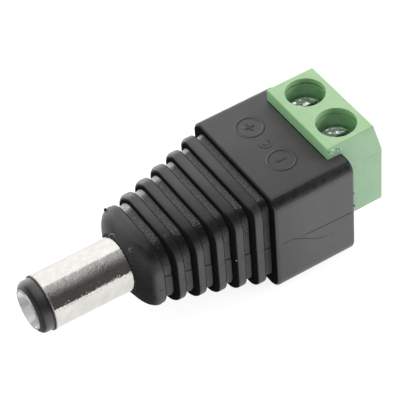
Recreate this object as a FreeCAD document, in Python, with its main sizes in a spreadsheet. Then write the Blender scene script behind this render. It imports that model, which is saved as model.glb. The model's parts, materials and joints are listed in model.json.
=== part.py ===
import FreeCAD, Part
import math
import os
import Sketcher

# Barrel power plug with a screw terminal block on its rear end.
# Millimetres.  X runs along the barrel, the plug's tip points to -X and the
# wire entries face +X.  +Z is the side that the clamp screws are turned from.
# Origin: on the barrel's axis, where the metal sleeve leaves the black nose.

V = FreeCAD.Vector
doc = FreeCAD.newDocument("barrel_plug")

# ---------------------------------------------------------------- dimensions
SIZES = [
    # barrel
    ("sleeve_radius", 2.75),
    ("sleeve_bore", 2.40),
    ("sleeve_neck", 2.58),
    ("sleeve_shoulder", 0.00),
    ("sleeve_front", -8.19),
    ("flange_front", 2.88),
    ("flange_rear", 3.38),
    ("flange_radius", 3.40),
    ("ring_radius", 2.59),
    ("ring_lip_radius", 2.74),
    ("ring_lip", 0.10),
    ("ring_front", -9.53),
    ("ring_round", 0.60),
    ("ring_mouth", 1.98),
    ("contact_radius", 1.35),
    ("contact_bore", 1.05),
    ("contact_tip", -9.67),
    ("mouth_radius", 1.84),
    ("funnel_depth", 1.35),
    ("lip_radius", 1.98),
    ("bore_end", 0.73),
    ("contact_rear", 4.73),
    ("rivet_radius", 1.80),
    # lugs and washer
    ("lug_thickness", 0.30),
    ("washer_thickness", 0.40),
    ("washer_radius", 3.10),
    ("lug_ring_radius", 2.55),
    ("tail_width", 1.50),
    ("tail_level", 3.10),
    ("tail_drop", 4.25),
    ("tail_end", 20.03),
    # black overmould: ribbed neck
    ("neck_width", 4.75),
    ("neck_width_step", 0.29),
    ("neck_height", 4.01),
    ("neck_height_step", 0.268),
    ("neck_corner", 2.90),
    ("rib2_corner", 2.76),
    ("rib3_corner", 2.46),
    ("rib4_corner", 2.14),
    ("rib5_corner", 1.84),
    ("rib6_corner", 1.34),
    ("groove_corner", 2.50),
    ("groove_corner_step", 0.29),
    ("nose_start", 0.00),
    ("nose_width", 2.98),
    ("nose_height", 2.94),
    ("nose_corner", 2.80),
    ("nose_full", 1.62),
    ("rib_front", 1.055),
    ("rib_front_pitch", 1.925),
    ("rib_rear", 2.14),
    ("rib_pitch", 1.962),
    ("rib_front_round", 0.50),
    ("rib_rear_round", 0.22),
    ("groove_depth", 0.45),
    ("groove_top_depth", 0.33),
    ("groove_lower_step", 0.06),
    ("parting_level", 0.80),
    ("parting_slope", 0.1365),
    ("core_start", 0.73),
    ("core_end", 13.13),
    # black overmould: block
    ("block_front", 12.71),
    ("block_rear", 21.53),
    ("block_width", 6.90),
    ("block_top", 5.62),
    ("block_bottom", 6.09),
    ("block_top_corner", 1.20),
    ("block_bottom_corner", 1.50),
    ("block_front_round", 0.34),
    ("block_rear_round", 0.35),
    # raised polarity mark
    ("mark_x", 16.47),
    ("mark_y", 2.65),
    ("mark_shift", 0.20),
    ("mark_radius", 1.40),
    ("mark_line", 0.18),
    ("mark_height", 0.05),
    ("sign_length", 0.98),
    ("arc_radius", 0.62),
    ("dot_radius", 0.24),
    # green terminal housing
    ("housing_front", 19.85),
    ("housing_top_end", 25.06),
    ("housing_end", 26.00),
    ("housing_slope_foot", 3.53),
    ("housing_top", 6.95),
    ("housing_bottom", 2.96),
    ("housing_width", 4.98),
    ("housing_round", 0.12),
    ("housing_top_round", 0.13),
    ("pole_offset", 2.50),
    ("well_x", 22.56),
    ("well_radius", 1.94),
    ("well_step_depth", 0.55),
    ("well_lower_radius", 1.87),
    ("shelf_top", 3.30),
    ("shelf_bottom", 2.70),
    ("shelf_hole", 1.30),
    ("chamber_width", 1.95),
    ("chamber_rear", 20.65),
    ("chamber_front", 25.23),
    ("chamber_floor", 2.50),
    ("entry_top", 1.40),
    ("pin_slot_rear", 20.09),
    ("pin_slot_width", 0.60),
    ("pin_slot_top", 0.20),
    # rising clamp cage
    ("cage_width", 1.88),
    ("cage_length", 3.60),
    ("cage_wall", 0.40),
    ("cage_top", 1.20),
    ("cage_top_wall", 0.90),
    ("cage_floor", 2.43),
    ("cage_thread", 1.28),
    # fixed contact plate and its pin
    ("plate_top", 0.15),
    ("plate_thickness", 0.60),
    ("plate_width", 1.38),
    ("plate_rear", 20.73),
    ("plate_front", 24.73),
    ("pin_rear", 20.13),
    ("pin_thickness", 0.44),
    ("pin_width", 0.50),
    ("pin_end", 4.95),
    # clamp screw
    ("screw_top", 4.92),
    ("screw_radius", 1.72),
    ("screw_seat", 3.32),
    ("screw_round", 0.28),
    ("screw_shank", 1.25),
    ("screw_end", 0.27),
    ("slot_width", 0.50),
    ("slot_depth", 0.70),
    ("slot_length", 2.90),
    # solder
    ("solder_radius", 0.95),
    ("solder_x", 20.23),
    ("solder_top", 3.55),
    ("solder_bottom", 4.70),
]

sheet = doc.addObject("Spreadsheet::Sheet", "dims")
for row, (alias, number) in enumerate(SIZES, 1):
    sheet.set("A%d" % row, alias)
    sheet.set("B%d" % row, "%g" % number)
    sheet.setAlias("B%d" % row, alias)
doc.recompute()


class Dim:
    """A size read from the sheet: its value, and the expression that binds it."""

    def __init__(self, value, text):
        self.value = float(value)
        self.text = text

    def _pair(self, other, sign, result, swap=False):
        text = other.text if isinstance(other, Dim) else "%g" % other
        if swap:
            return Dim(result, "(%s %s %s)" % (text, sign, self.text))
        return Dim(result, "(%s %s %s)" % (self.text, sign, text))

    def __add__(self, other):
        return self._pair(other, "+", self.value + number_of(other))

    def __radd__(self, other):
        return self._pair(other, "+", self.value + number_of(other), True)

    def __sub__(self, other):
        return self._pair(other, "-", self.value - number_of(other))

    def __rsub__(self, other):
        return self._pair(other, "-", number_of(other) - self.value, True)

    def __mul__(self, other):
        return self._pair(other, "*", self.value * number_of(other))

    def __rmul__(self, other):
        return self._pair(other, "*", self.value * number_of(other), True)

    def __truediv__(self, other):
        return self._pair(other, "/", self.value / number_of(other))

    def __neg__(self):
        return Dim(-self.value, "(-1 * %s)" % self.text)


def number_of(item):
    return item.value if isinstance(item, Dim) else float(item)


def dim(item):
    return item if isinstance(item, Dim) else Dim(item, "%g" % item)


D = {alias: Dim(sheet.get(alias), "dims." + alias) for alias, _ in SIZES}


# ------------------------------------------------------------------- helpers
def bind(obj, prop, size):
    obj.setExpression(prop, dim(size).text)


def new_body(name):
    body = doc.addObject("PartDesign::Body", name)
    body.Label = name
    return body


def plane_of(body, role):
    for item in body.Origin.OriginFeatures:
        if item.Role == role:
            return item
    raise RuntimeError("no plane " + role)


def new_sketch(body, role, offset=None):
    sketch = body.newObject("Sketcher::SketchObject", body.Name + "_sketch")
    sketch.AttachmentSupport = [(plane_of(body, role), "")]
    sketch.MapMode = "FlatFace"
    if offset is not None:
        offset = dim(offset)
        sketch.AttachmentOffset = FreeCAD.Placement(V(0, 0, offset.value), FreeCAD.Rotation())
        bind(sketch, "AttachmentOffset.Base.z", offset)
    return sketch


def fix_value(sketch, kind, geo, pos, size):
    """Hold one coordinate of a point, measured from the sketch's origin."""
    if abs(size.value) < 1e-9:
        axis = -2 if kind == "DistanceX" else -1
        sketch.addConstraint(Sketcher.Constraint("PointOnObject", geo, pos, axis))
        return
    index = sketch.addConstraint(Sketcher.Constraint(kind, -1, 1, geo, pos, size.value))
    name = "c%d" % index
    sketch.renameConstraint(index, name)
    sketch.setExpression("Constraints." + name, size.text)


def fix_point(sketch, geo, pos, x, y):
    fix_value(sketch, "DistanceX", geo, pos, dim(x))
    fix_value(sketch, "DistanceY", geo, pos, dim(y))


def loop(sketch, points):
    """Closed outline of straight lines through the given points."""
    points = [(dim(x), dim(y)) for x, y in points]
    count = len(points)
    first = sketch.GeometryCount
    for i in range(count):
        a, b = points[i], points[(i + 1) % count]
        sketch.addGeometry(Part.LineSegment(V(a[0].value, a[1].value, 0), V(b[0].value, b[1].value, 0)), False)
    for i in range(count):
        sketch.addConstraint(Sketcher.Constraint("Coincident", first + i, 2, first + (i + 1) % count, 1))
    for i, (x, y) in enumerate(points):
        fix_point(sketch, first + i, 1, x, y)


def circle(sketch, x, y, radius):
    x, y, radius = dim(x), dim(y), dim(radius)
    geo = sketch.addGeometry(Part.Circle(V(x.value, y.value, 0), V(0, 0, 1), radius.value), False)
    fix_point(sketch, geo, 3, x, y)
    index = sketch.addConstraint(Sketcher.Constraint("Radius", geo, radius.value))
    name = "r%d" % index
    sketch.renameConstraint(index, name)
    sketch.setExpression("Constraints." + name, radius.text)


def arc_loop(sketch, items):
    """Closed outline of lines and quarter or half arcs.

    items: ("line", (x, y)) or ("arc", (x, y), (cx, cy), radius), each running
    from the previous point to (x, y); "arc" turns anticlockwise, "back" clockwise.
    """
    first = sketch.GeometryCount
    start = items[-1][1]
    ends = []
    for item in items:
        a, b = start, item[1]
        pa = V(dim(a[0]).value, dim(a[1]).value, 0)
        pb = V(dim(b[0]).value, dim(b[1]).value, 0)
        if item[0] == "line":
            geo = sketch.addGeometry(Part.LineSegment(pa, pb), False)
            ends.append((geo, 1, 2))
        else:
            cx, cy = dim(item[2][0]).value, dim(item[2][1]).value
            radius = dim(item[3]).value
            if item[0] == "back":
                pa, pb = pb, pa
            t0 = math.atan2(pa.y - cy, pa.x - cx)
            t1 = math.atan2(pb.y - cy, pb.x - cx)
            if t1 < t0:
                t1 += 2 * math.pi
            base = Part.Circle(V(cx, cy, 0), V(0, 0, 1), radius)
            geo = sketch.addGeometry(Part.ArcOfCircle(base, t0, t1), False)
            ends.append((geo, 2, 1) if item[0] == "back" else (geo, 1, 2))
        start = b
    count = len(items)
    for i in range(count):
        g0, g1 = ends[i], ends[(i + 1) % count]
        sketch.addConstraint(Sketcher.Constraint("Coincident", g0[0], g0[2], g1[0], g1[1]))
    for i, item in enumerate(items):
        if item[0] != "line":
            radius = dim(item[3])
            index = sketch.addConstraint(Sketcher.Constraint("Radius", ends[i][0], radius.value))
            name = "r%d" % index
            sketch.renameConstraint(index, name)
            sketch.setExpression("Constraints." + name, radius.text)
        fix_point(sketch, ends[i][0], ends[i][2], item[1][0], item[1][1])


def rounded(sketch, half_width, top, bottom, top_corner, bottom_corner):
    """Rounded rectangle, anticlockwise, about the sketch's vertical axis."""
    w, h, b, rt, rb = dim(half_width), dim(top), dim(bottom), dim(top_corner), dim(bottom_corner)
    arc_loop(sketch, [
        ("line", (w - rb, -b)),
        ("arc", (w, -(b - rb)), (w - rb, -(b - rb)), rb),
        ("line", (w, h - rt)),
        ("arc", (w - rt, h), (w - rt, h - rt), rt),
        ("line", (-(w - rt), h)),
        ("arc", (-w, h - rt), (-(w - rt), h - rt), rt),
        ("line", (-w, -(b - rb))),
        ("arc", (-(w - rb), -b), (-(w - rb), -(b - rb)), rb),
    ])


def pad(body, sketch, length, symmetric=False, reverse=False):
    feature = body.newObject("PartDesign::Pad", body.Name + "_pad")
    feature.Profile = sketch
    bind(feature, "Length", length)
    if symmetric:
        feature.SideType = "Symmetric"
    feature.Reversed = reverse
    sketch.Visibility = False
    return feature


def pocket(body, sketch, length, reverse=False):
    """Cut and make sure that material has really gone."""
    doc.recompute()
    before = body.Shape.Volume
    feature = body.newObject("PartDesign::Pocket", body.Name + "_pocket")
    feature.Profile = sketch
    bind(feature, "Length", length)
    feature.Reversed = reverse
    doc.recompute()
    if body.Shape.Volume >= before - 1e-6:
        raise RuntimeError("pocket cut nothing in " + body.Name)
    return feature


def turned(body, sketch, axis):
    feature = body.newObject("PartDesign::Revolution", body.Name + "_turned")
    feature.Profile = sketch
    feature.ReferenceAxis = (sketch, [axis])
    feature.Angle = 360
    return feature


def round_edges(body, base, radius, chosen):
    """Fillet the edges of base that the test picks out."""
    doc.recompute()
    names = ["Edge%d" % (i + 1) for i, edge in enumerate(base.Shape.Edges) if chosen(edge)]
    if not names:
        raise RuntimeError("no edges to round in " + body.Name)
    feature = body.newObject("PartDesign::Fillet", body.Name + "_round")
    feature.Base = (base, names)
    bind(feature, "Radius", radius)
    doc.recompute()
    if feature.Shape.isNull():
        raise RuntimeError("fillet failed in " + body.Name)
    return feature


def edge_at_x(edge, x):
    """True where the edge lies in the plane at x."""
    first, last = edge.FirstParameter, edge.LastParameter
    return all(abs(edge.valueAt(first + (last - first) * k / 4).x - x) < 1e-4 for k in range(5))


def move(obj, x=0, y=0, z=0):
    for axis, size in (("x", x), ("y", y), ("z", z)):
        size = dim(size)
        if size.value or size.text != "0":
            bind(obj, "Placement.Base." + axis, size)


NODES = []


# -------------------------------------------------------------- outer sleeve
sleeve = new_body("outer_sleeve")
sk = new_sketch(sleeve, "XY_Plane")
loop(sk, [
    (D["sleeve_front"], D["sleeve_bore"]),
    (D["flange_rear"], D["sleeve_bore"]),
    (D["flange_rear"], D["flange_radius"]),
    (D["flange_front"], D["flange_radius"]),
    (D["flange_front"], D["sleeve_neck"]),
    (D["sleeve_shoulder"], D["sleeve_neck"]),
    (D["sleeve_shoulder"], D["sleeve_radius"]),
    (D["sleeve_front"], D["sleeve_radius"]),
])
turned(sleeve, sk, "H_Axis")
NODES.append(sleeve)

# ------------------------------------------------------------- tip insulator
# A bush inside the sleeve, with a rounded ring that covers the sleeve's front
# edge and follows the contact's funnel.
lug_a = D["flange_rear"] + D["lug_thickness"]
bush = new_body("tip_insulator")
sk = new_sketch(bush, "XY_Plane")
funnel_start = D["contact_tip"] + D["funnel_depth"]
loop(sk, [
    (lug_a, D["contact_radius"]),
    (lug_a, D["sleeve_bore"]),
    (D["sleeve_front"], D["sleeve_bore"]),
    (D["sleeve_front"], D["ring_lip_radius"]),
    (D["sleeve_front"] - D["ring_lip"], D["ring_lip_radius"]),
    (D["sleeve_front"] - D["ring_lip"], D["ring_radius"]),
    (D["ring_front"], D["ring_radius"]),
    (D["ring_front"], D["ring_mouth"]),
    (funnel_start, D["contact_radius"]),
])
bush_turned = turned(bush, sk, "H_Axis")
round_edges(bush, bush_turned, D["ring_round"],
            lambda e: edge_at_x(e, D["ring_front"].value) and e.BoundBox.ZLength > 2 * D["ring_radius"].value - 0.02)
NODES.append(bush)

# ------------------------------------------------------------ centre contact
# A tube with a flared mouth; its rear end is solid and riveted over the lug.
lug_b = lug_a + D["washer_thickness"]
lug_c = lug_b + D["lug_thickness"]
contact = new_body("centre_contact")
sk = new_sketch(contact, "XY_Plane")
loop(sk, [
    (D["contact_tip"], D["mouth_radius"]),
    (funnel_start + D["lug_thickness"], D["contact_bore"]),
    (D["bore_end"], D["contact_bore"]),
    (D["bore_end"] + D["contact_bore"] * 0.6, 0),
    (D["contact_rear"], 0),
    (D["contact_rear"], D["rivet_radius"]),
    (lug_c, D["rivet_radius"]),
    (lug_c, D["contact_radius"]),
    (funnel_start, D["contact_radius"]),
    (D["ring_front"], D["lip_radius"]),
    (D["contact_tip"], D["lip_radius"]),
])
turned(contact, sk, "H_Axis")
NODES.append(contact)

# ------------------------------------------------------------ rear insulator
washer = new_body("rear_insulator")
sk = new_sketch(washer, "XY_Plane")
loop(sk, [
    (lug_a, D["contact_radius"]),
    (lug_b, D["contact_radius"]),
    (lug_b, D["washer_radius"]),
    (lug_a, D["washer_radius"]),
])
turned(washer, sk, "H_Axis")
NODES.append(washer)


# --------------------------------------------------------------- solder lugs
def solder_lug(name, start, bore, ring, side):
    """A ring on the plug's axis and a strip that runs back to a terminal pin."""
    body = new_body(name)
    sk = new_sketch(body, "YZ_Plane", start)
    circle(sk, 0, 0, bore)
    circle(sk, 0, 0, ring)
    pad(body, sk, D["lug_thickness"])
    half = D["tail_width"] / 2
    sk = new_sketch(body, "YZ_Plane", start)
    inner, outer = D["pole_offset"] - half, D["pole_offset"] + half
    low, high = D["tail_level"], D["tail_level"] - D["contact_radius"] * 0.9
    if side > 0:
        loop(sk, [(inner - 0.9, -high), (inner - 0.9, -(low - 0.5)), (inner, -low), (outer, -low), (outer, -high)])
    else:
        loop(sk, [(-outer, -high), (-outer, -low), (-inner, -low), (-inner, -high)])
    pad(body, sk, D["lug_thickness"])
    # strip: side outline, drawn on a plane through the tail's middle
    sk = new_sketch(body, "XZ_Plane", -D["pole_offset"] if side > 0 else D["pole_offset"])
    loop(sk, [
        (start, -low),
        (D["tail_end"], -D["tail_drop"]),
        (D["tail_end"], -(D["tail_drop"] - D["lug_thickness"])),
        (start + D["lug_thickness"], -(low - D["lug_thickness"])),
        (start, -(low - D["lug_thickness"])),
    ])
    pad(body, sk, D["tail_width"], symmetric=True)
    return body


lug_sleeve = solder_lug("sleeve_lug", D["flange_rear"], D["sleeve_bore"], D["flange_radius"], -1)
lug_centre = solder_lug("centre_lug", lug_b, D["contact_radius"], D["lug_ring_radius"], 1)
NODES += [lug_sleeve, lug_centre]


# ---------------------------------------------------------- terminal housing
housing = new_body("terminal_housing")
sk = new_sketch(housing, "XZ_Plane")
loop(sk, [
    (D["housing_front"], -D["housing_bottom"]),
    (D["housing_end"], -D["housing_bottom"]),
    (D["housing_end"], D["housing_slope_foot"]),
    (D["housing_top_end"], D["housing_top"]),
    (D["housing_front"], D["housing_top"]),
])
block = pad(housing, sk, D["housing_width"] * 2, symmetric=True)
block = round_edges(housing, block, D["housing_top_round"],
                    lambda e: e.BoundBox.ZMin > D["housing_top"].value - 1e-3 and e.BoundBox.XLength > 1)
round_edges(housing, block, D["housing_round"], lambda e: e.BoundBox.ZMax > D["housing_bottom"].value * -1 + 0.01
            and e.BoundBox.ZMin < D["housing_top"].value - D["housing_top_round"].value - 1e-3)
# screw wells, a wider mouth above a slightly narrower bore
for side in (1, -1):
    sk = new_sketch(housing, "XY_Plane", D["housing_top"])
    circle(sk, D["well_x"], side * D["pole_offset"], D["well_radius"])
    pocket(housing, sk, D["well_step_depth"])
    sk = new_sketch(housing, "XY_Plane", D["housing_top"] - D["well_step_depth"])
    circle(sk, D["well_x"], side * D["pole_offset"], D["well_lower_radius"])
    pocket(housing, sk, D["housing_top"] - D["well_step_depth"] - D["shelf_top"])
    sk = new_sketch(housing, "XY_Plane", D["shelf_top"])
    circle(sk, D["well_x"], side * D["pole_offset"], D["shelf_hole"])
    pocket(housing, sk, D["shelf_top"] - D["shelf_bottom"])


def box_sketch(sketch, x0, x1, y0, y1):
    loop(sketch, [(x0, y0), (x1, y0), (x1, y1), (x0, y1)])


for side in (1, -1):
    near = side * D["pole_offset"] - D["chamber_width"]
    far = side * D["pole_offset"] + D["chamber_width"]
    # wire entry, through the end face
    sk = new_sketch(housing, "YZ_Plane", D["housing_end"])
    box_sketch(sk, near, far, -D["chamber_floor"], D["entry_top"])
    pocket(housing, sk, D["housing_end"] - D["chamber_rear"])
    # taller chamber behind it, where the cage rises
    sk = new_sketch(housing, "YZ_Plane", D["chamber_front"])
    box_sketch(sk, near, far, D["entry_top"] - 0.2, D["shelf_bottom"])
    pocket(housing, sk, D["chamber_front"] - D["chamber_rear"])
    # slot for the contact's pin, open to the chamber and to the underside
    sk = new_sketch(housing, "XY_Plane", -D["housing_bottom"])
    box_sketch(sk, D["pin_slot_rear"], D["chamber_rear"] + 0.1,
               side * D["pole_offset"] - D["pin_slot_width"], side * D["pole_offset"] + D["pin_slot_width"])
    pocket(housing, sk, D["pin_slot_top"] + D["housing_bottom"], reverse=True)
NODES.append(housing)


# ------------------------------------------------- clamp: plate, cage, screw
def contact_plate(name, side):
    """Fixed bar that the wire is clamped against, with the pin it is soldered by."""
    body = new_body(name)
    sk = new_sketch(body, "XY_Plane", D["plate_top"] - D["plate_thickness"])
    box_sketch(sk, D["plate_rear"], D["plate_front"], -D["plate_width"], D["plate_width"])
    pad(body, sk, D["plate_thickness"])
    sk = new_sketch(body, "XZ_Plane")
    loop(sk, [
        (D["pin_rear"], -D["pin_end"]),
        (D["pin_rear"] + D["pin_thickness"], -D["pin_end"]),
        (D["pin_rear"] + D["pin_thickness"], D["plate_top"] - D["plate_thickness"]),
        (D["plate_rear"] + 0.2, D["plate_top"] - D["plate_thickness"]),
        (D["plate_rear"] + 0.2, D["plate_top"]),
        (D["pin_rear"], D["plate_top"]),
    ])
    pad(body, sk, D["pin_width"] * 2, symmetric=True)
    move(body, y=side * D["pole_offset"])
    return body


def clamp_cage(name, side):
    """Square frame round the wire; the screw draws it up against the plate."""
    body = new_body(name)
    sk = new_sketch(body, "YZ_Plane", D["well_x"] - D["cage_length"] / 2)
    box_sketch(sk, -D["cage_width"], D["cage_width"], -D["cage_floor"], D["cage_top"])
    inner = D["cage_width"] - D["cage_wall"]
    box_sketch(sk, -inner, inner, -(D["cage_floor"] - D["cage_wall"]), D["cage_top"] - D["cage_top_wall"])
    pad(body, sk, D["cage_length"])
    sk = new_sketch(body, "XY_Plane", D["cage_top"])
    circle(sk, D["well_x"], 0, D["cage_thread"])
    pocket(body, sk, D["cage_top_wall"])
    move(body, y=side * D["pole_offset"])
    return body


def clamp_screw(name, side):
    """Slotted screw that turns in place, drawn about its own axis."""
    body = new_body(name)
    sk = new_sketch(body, "XZ_Plane")
    loop(sk, [
        (0, D["screw_end"]),
        (D["screw_shank"] - 0.2, D["screw_end"]),
        (D["screw_shank"], D["screw_end"] + 0.2),
        (D["screw_shank"], D["screw_seat"]),
        (D["screw_radius"], D["screw_seat"]),
        (D["screw_radius"], D["screw_top"]),
        (0, D["screw_top"]),
    ])
    head = turned(body, sk, "V_Axis")
    round_edges(body, head, D["screw_round"], lambda e: abs(e.BoundBox.ZMin - D["screw_top"].value) < 1e-4
                and e.BoundBox.XLength > 2 * D["screw_radius"].value - 0.01)
    sk = new_sketch(body, "XY_Plane", D["screw_top"])
    box_sketch(sk, -(D["slot_length"] / 2), D["slot_length"] / 2, -(D["slot_width"] / 2), D["slot_width"] / 2)
    pocket(body, sk, D["slot_depth"])
    move(body, x=D["well_x"], y=side * D["pole_offset"])
    return body


for word, side in (("positive", 1), ("negative", -1)):
    NODES.append(contact_plate("contact_plate_" + word, side))
    NODES.append(clamp_cage("clamp_cage_" + word, side))
    NODES.append(clamp_screw("clamp_screw_" + word, side))
doc.recompute()


# -------------------------------------------------------------------- solder
def solder(name, side, pin, tail):
    """Drop of solder that joins a lug's strip to a terminal pin."""
    drop = doc.addObject("Part::Cylinder", name + "_drop")
    bind(drop, "Radius", D["solder_radius"])
    bind(drop, "Height", D["solder_bottom"] - D["solder_top"])
    move(drop, x=D["solder_x"], y=side * D["pole_offset"], z=-D["solder_bottom"])
    soft = doc.addObject("Part::Fillet", name + "_soft")
    soft.Base = drop
    doc.recompute()
    soft.Edges = [(i + 1, 0.3, 0.3) for i, e in enumerate(drop.Shape.Edges) if e.BoundBox.ZLength < 1e-6]
    held = doc.addObject("Part::MultiFuse", name + "_held")
    held.Shapes = [pin, tail]
    cut = doc.addObject("Part::Cut", name)
    cut.Base, cut.Tool = soft, held
    cut.Label = name
    return cut


by_name = {item.Label: item for item in NODES}
joint_plus = solder("solder_positive", 1, by_name["contact_plate_positive"], lug_centre)
joint_minus = solder("solder_negative", -1, by_name["contact_plate_negative"], lug_sleeve)
doc.recompute()
NODES += [joint_plus, joint_minus]

# ----------------------------------------------------------- black overmould
form = new_body("overmould_form")


def core_section(body, x, lower):
    """Groove floor outline at x, or its side floors below the parting line."""
    along = x - (D["rib_rear"] + 0.42)
    width = D["neck_width"] - D["groove_depth"] + along * (D["neck_width_step"] / D["rib_pitch"])
    height = D["neck_height"] - D["groove_top_depth"] + along * (D["neck_height_step"] / D["rib_pitch"])
    corner = D["groove_corner"] - along * (D["groove_corner_step"] / D["rib_pitch"])
    sk = new_sketch(body, "YZ_Plane", x)
    if not lower:
        rounded(sk, width, height, height, corner, corner)
        return sk
    w, b, rb = width + D["groove_lower_step"], height - 0.05, corner + 0.10
    level = D["parting_level"] - x * D["parting_slope"]
    arc_loop(sk, [
        ("line", (-w, level)),
        ("line", (-w, -(b - rb))),
        ("arc", (-(w - rb), -b), (-(w - rb), -(b - rb)), rb),
        ("line", (w - rb, -b)),
        ("arc", (w, -(b - rb)), (w - rb, -(b - rb)), rb),
        ("line", (w, level)),
    ])
    return sk


def loft(body, sections):
    feature = body.newObject("PartDesign::AdditiveLoft", body.Name + "_loft")
    feature.Profile = sections[0]
    feature.Sections = sections[1:]
    return feature


loft(form, [core_section(form, D["core_start"], False), core_section(form, D["core_end"], False)])
loft(form, [core_section(form, D["core_start"], True), core_section(form, D["core_end"], True)])

# nose: domed face that closes on the sleeve, then the first rib's crest
nose = []
for share, fill in ((0.0, 0.0), (0.17, 0.31), (0.36, 0.63), (0.60, 0.86), (1.0, 1.0)):
    x = D["nose_start"] + (D["nose_full"] - D["nose_start"]) * share
    width = D["nose_width"] + (D["neck_width"] - D["nose_width"]) * fill
    height = D["nose_height"] + (D["neck_height"] - D["nose_height"]) * fill
    corner = D["nose_corner"]
    sk = new_sketch(form, "YZ_Plane", x)
    rounded(sk, width, height, height, corner, corner)
    nose.append(sk)
loft(form, nose)
sk = new_sketch(form, "YZ_Plane", D["nose_full"])
rounded(sk, D["neck_width"], D["neck_height"], D["neck_height"], D["neck_corner"], D["neck_corner"])
pad(form, sk, D["rib_rear"] - D["nose_full"])

CORNERS = [D["neck_corner"]] + [D["rib%d_corner" % k] for k in range(2, 7)]
for i in range(1, 6):
    width = D["neck_width"] + D["neck_width_step"] * i
    height = D["neck_height"] + D["neck_height_step"] * i
    corner = CORNERS[i]
    front = D["rib_front"] + D["rib_front_pitch"] * i
    sk = new_sketch(form, "YZ_Plane", front)
    rounded(sk, width, height, height, corner, corner)
    pad(form, sk, D["rib_rear"] + D["rib_pitch"] * i - front)

sk = new_sketch(form, "YZ_Plane", D["block_front"])
rounded(sk, D["block_width"], D["block_top"], D["block_bottom"], D["block_top_corner"], D["block_bottom_corner"])
last = pad(form, sk, D["block_rear"] - D["block_front"])

rib_fronts = [D["rib_front"].value + D["rib_front_pitch"].value * i for i in range(1, 6)]
rib_rears = [D["rib_rear"].value + D["rib_pitch"].value * i for i in range(0, 6)]


def on_crest(edge, xs, first):
    """True for an edge of a rib's outer outline at one of the positions xs."""
    for i, x in enumerate(xs):
        if edge_at_x(edge, x):
            k = i + first
            width = D["neck_width"].value + D["neck_width_step"].value * k
            height = D["neck_height"].value + D["neck_height_step"].value * k
            corner = CORNERS[k].value
            p = edge.valueAt(0.5 * (edge.FirstParameter + edge.LastParameter))
            y, z = abs(p.y), abs(p.z)
            dy, dz = max(y - (width - corner), 0), max(z - (height - corner), 0)
            return abs(math.hypot(dy, dz) - corner) < 0.02
    return False


last = round_edges(form, last, D["rib_front_round"], lambda e: on_crest(e, rib_fronts, 1))
last = round_edges(form, last, D["rib_rear_round"], lambda e: on_crest(e, rib_rears, 0))


def outer_at_x(edge, x):
    p = edge.valueAt(0.5 * (edge.FirstParameter + edge.LastParameter))
    big = abs(p.y) > D["block_width"].value - 0.7 or p.z > D["block_top"].value - 1e-3 \
        or p.z < -D["block_bottom"].value + 1e-3
    return edge_at_x(edge, x) and big


last = round_edges(form, last, D["block_front_round"], lambda e: outer_at_x(e, D["block_front"].value))
last = round_edges(form, last, D["block_rear_round"], lambda e: outer_at_x(e, D["block_rear"].value))

# raised polarity mark: ring with a plus, ring with a minus, an arc and a dot
sk = new_sketch(form, "XY_Plane", D["block_top"] - 0.05)
half, line = D["sign_length"] / 2, D["mark_line"] / 2
mx, mid = D["mark_x"], D["mark_shift"]
my, ny = mid + D["mark_y"], mid - D["mark_y"]
for y in (my, ny):
    circle(sk, mx, y, D["mark_radius"])
    circle(sk, mx, y, D["mark_radius"] - D["mark_line"])
box_sketch(sk, mx - half, mx + half, ny - line, ny + line)
loop(sk, [
    (mx - half, my - line), (mx - line, my - line), (mx - line, my - half), (mx + line, my - half),
    (mx + line, my - line), (mx + half, my - line), (mx + half, my + line), (mx + line, my + line),
    (mx + line, my + half), (mx - line, my + half), (mx - line, my + line), (mx - half, my + line),
])
circle(sk, mx, mid, D["dot_radius"])
outer, inner = D["arc_radius"], D["arc_radius"] - D["mark_line"]
arc_loop(sk, [
    ("arc", (mx + outer * 0.8, mid + outer * 0.6), (mx, mid), outer),
    ("line", (mx + inner * 0.8, mid + inner * 0.6)),
    ("back", (mx - inner * 0.8, mid + inner * 0.6), (mx, mid), inner),
    ("line", (mx - outer * 0.8, mid + outer * 0.6)),
])
pad(form, sk, D["mark_height"] + 0.05)

# pocket that the green housing stands in, open to the top and to the rear
sk = new_sketch(form, "XY_Plane", D["block_top"] + 0.5)
box_sketch(sk, D["housing_front"], D["block_rear"] + 1, -D["housing_width"], D["housing_width"])
pocket(form, sk, D["block_top"] + 0.5 + D["housing_bottom"])
doc.recompute()

# the moulding grips the plug's rear end, its lugs, the solder and the pins;
# the contact's bore stays closed behind its solid end
rest = doc.addObject("Part::MultiFuse", "gripped")
rest.Shapes = [sleeve, bush, contact, washer, lug_sleeve, lug_centre, joint_plus, joint_minus,
               by_name["contact_plate_positive"], by_name["contact_plate_negative"]]
bore = doc.addObject("Part::Cylinder", "barrel_space")
bind(bore, "Radius", D["sleeve_neck"])
bind(bore, "Height", D["flange_front"])
bore.Placement = FreeCAD.Placement(V(0, 0, 0), FreeCAD.Rotation(V(0, 1, 0), 90))
hollow = doc.addObject("Part::Cut", "overmould_hollow")
hollow.Base, hollow.Tool = form, bore
overmould = doc.addObject("Part::Cut", "overmould_body")
overmould.Base, overmould.Tool = hollow, rest
overmould.Label = "overmould_body"
doc.recompute()
NODES.append(overmould)

# --------------------------------------------------------------------- check
for obj in doc.Objects:
    if "Invalid" in obj.State or "Error" in obj.State:
        raise RuntimeError("failed object: %s %s" % (obj.Name, obj.State))
for node in NODES:
    shape = node.Shape
    if shape.isNull() or not shape.isValid():
        raise RuntimeError("bad shape: " + node.Label)
    if len(shape.Solids) != 1:
        raise RuntimeError("%s has %d solids" % (node.Label, len(shape.Solids)))

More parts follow.
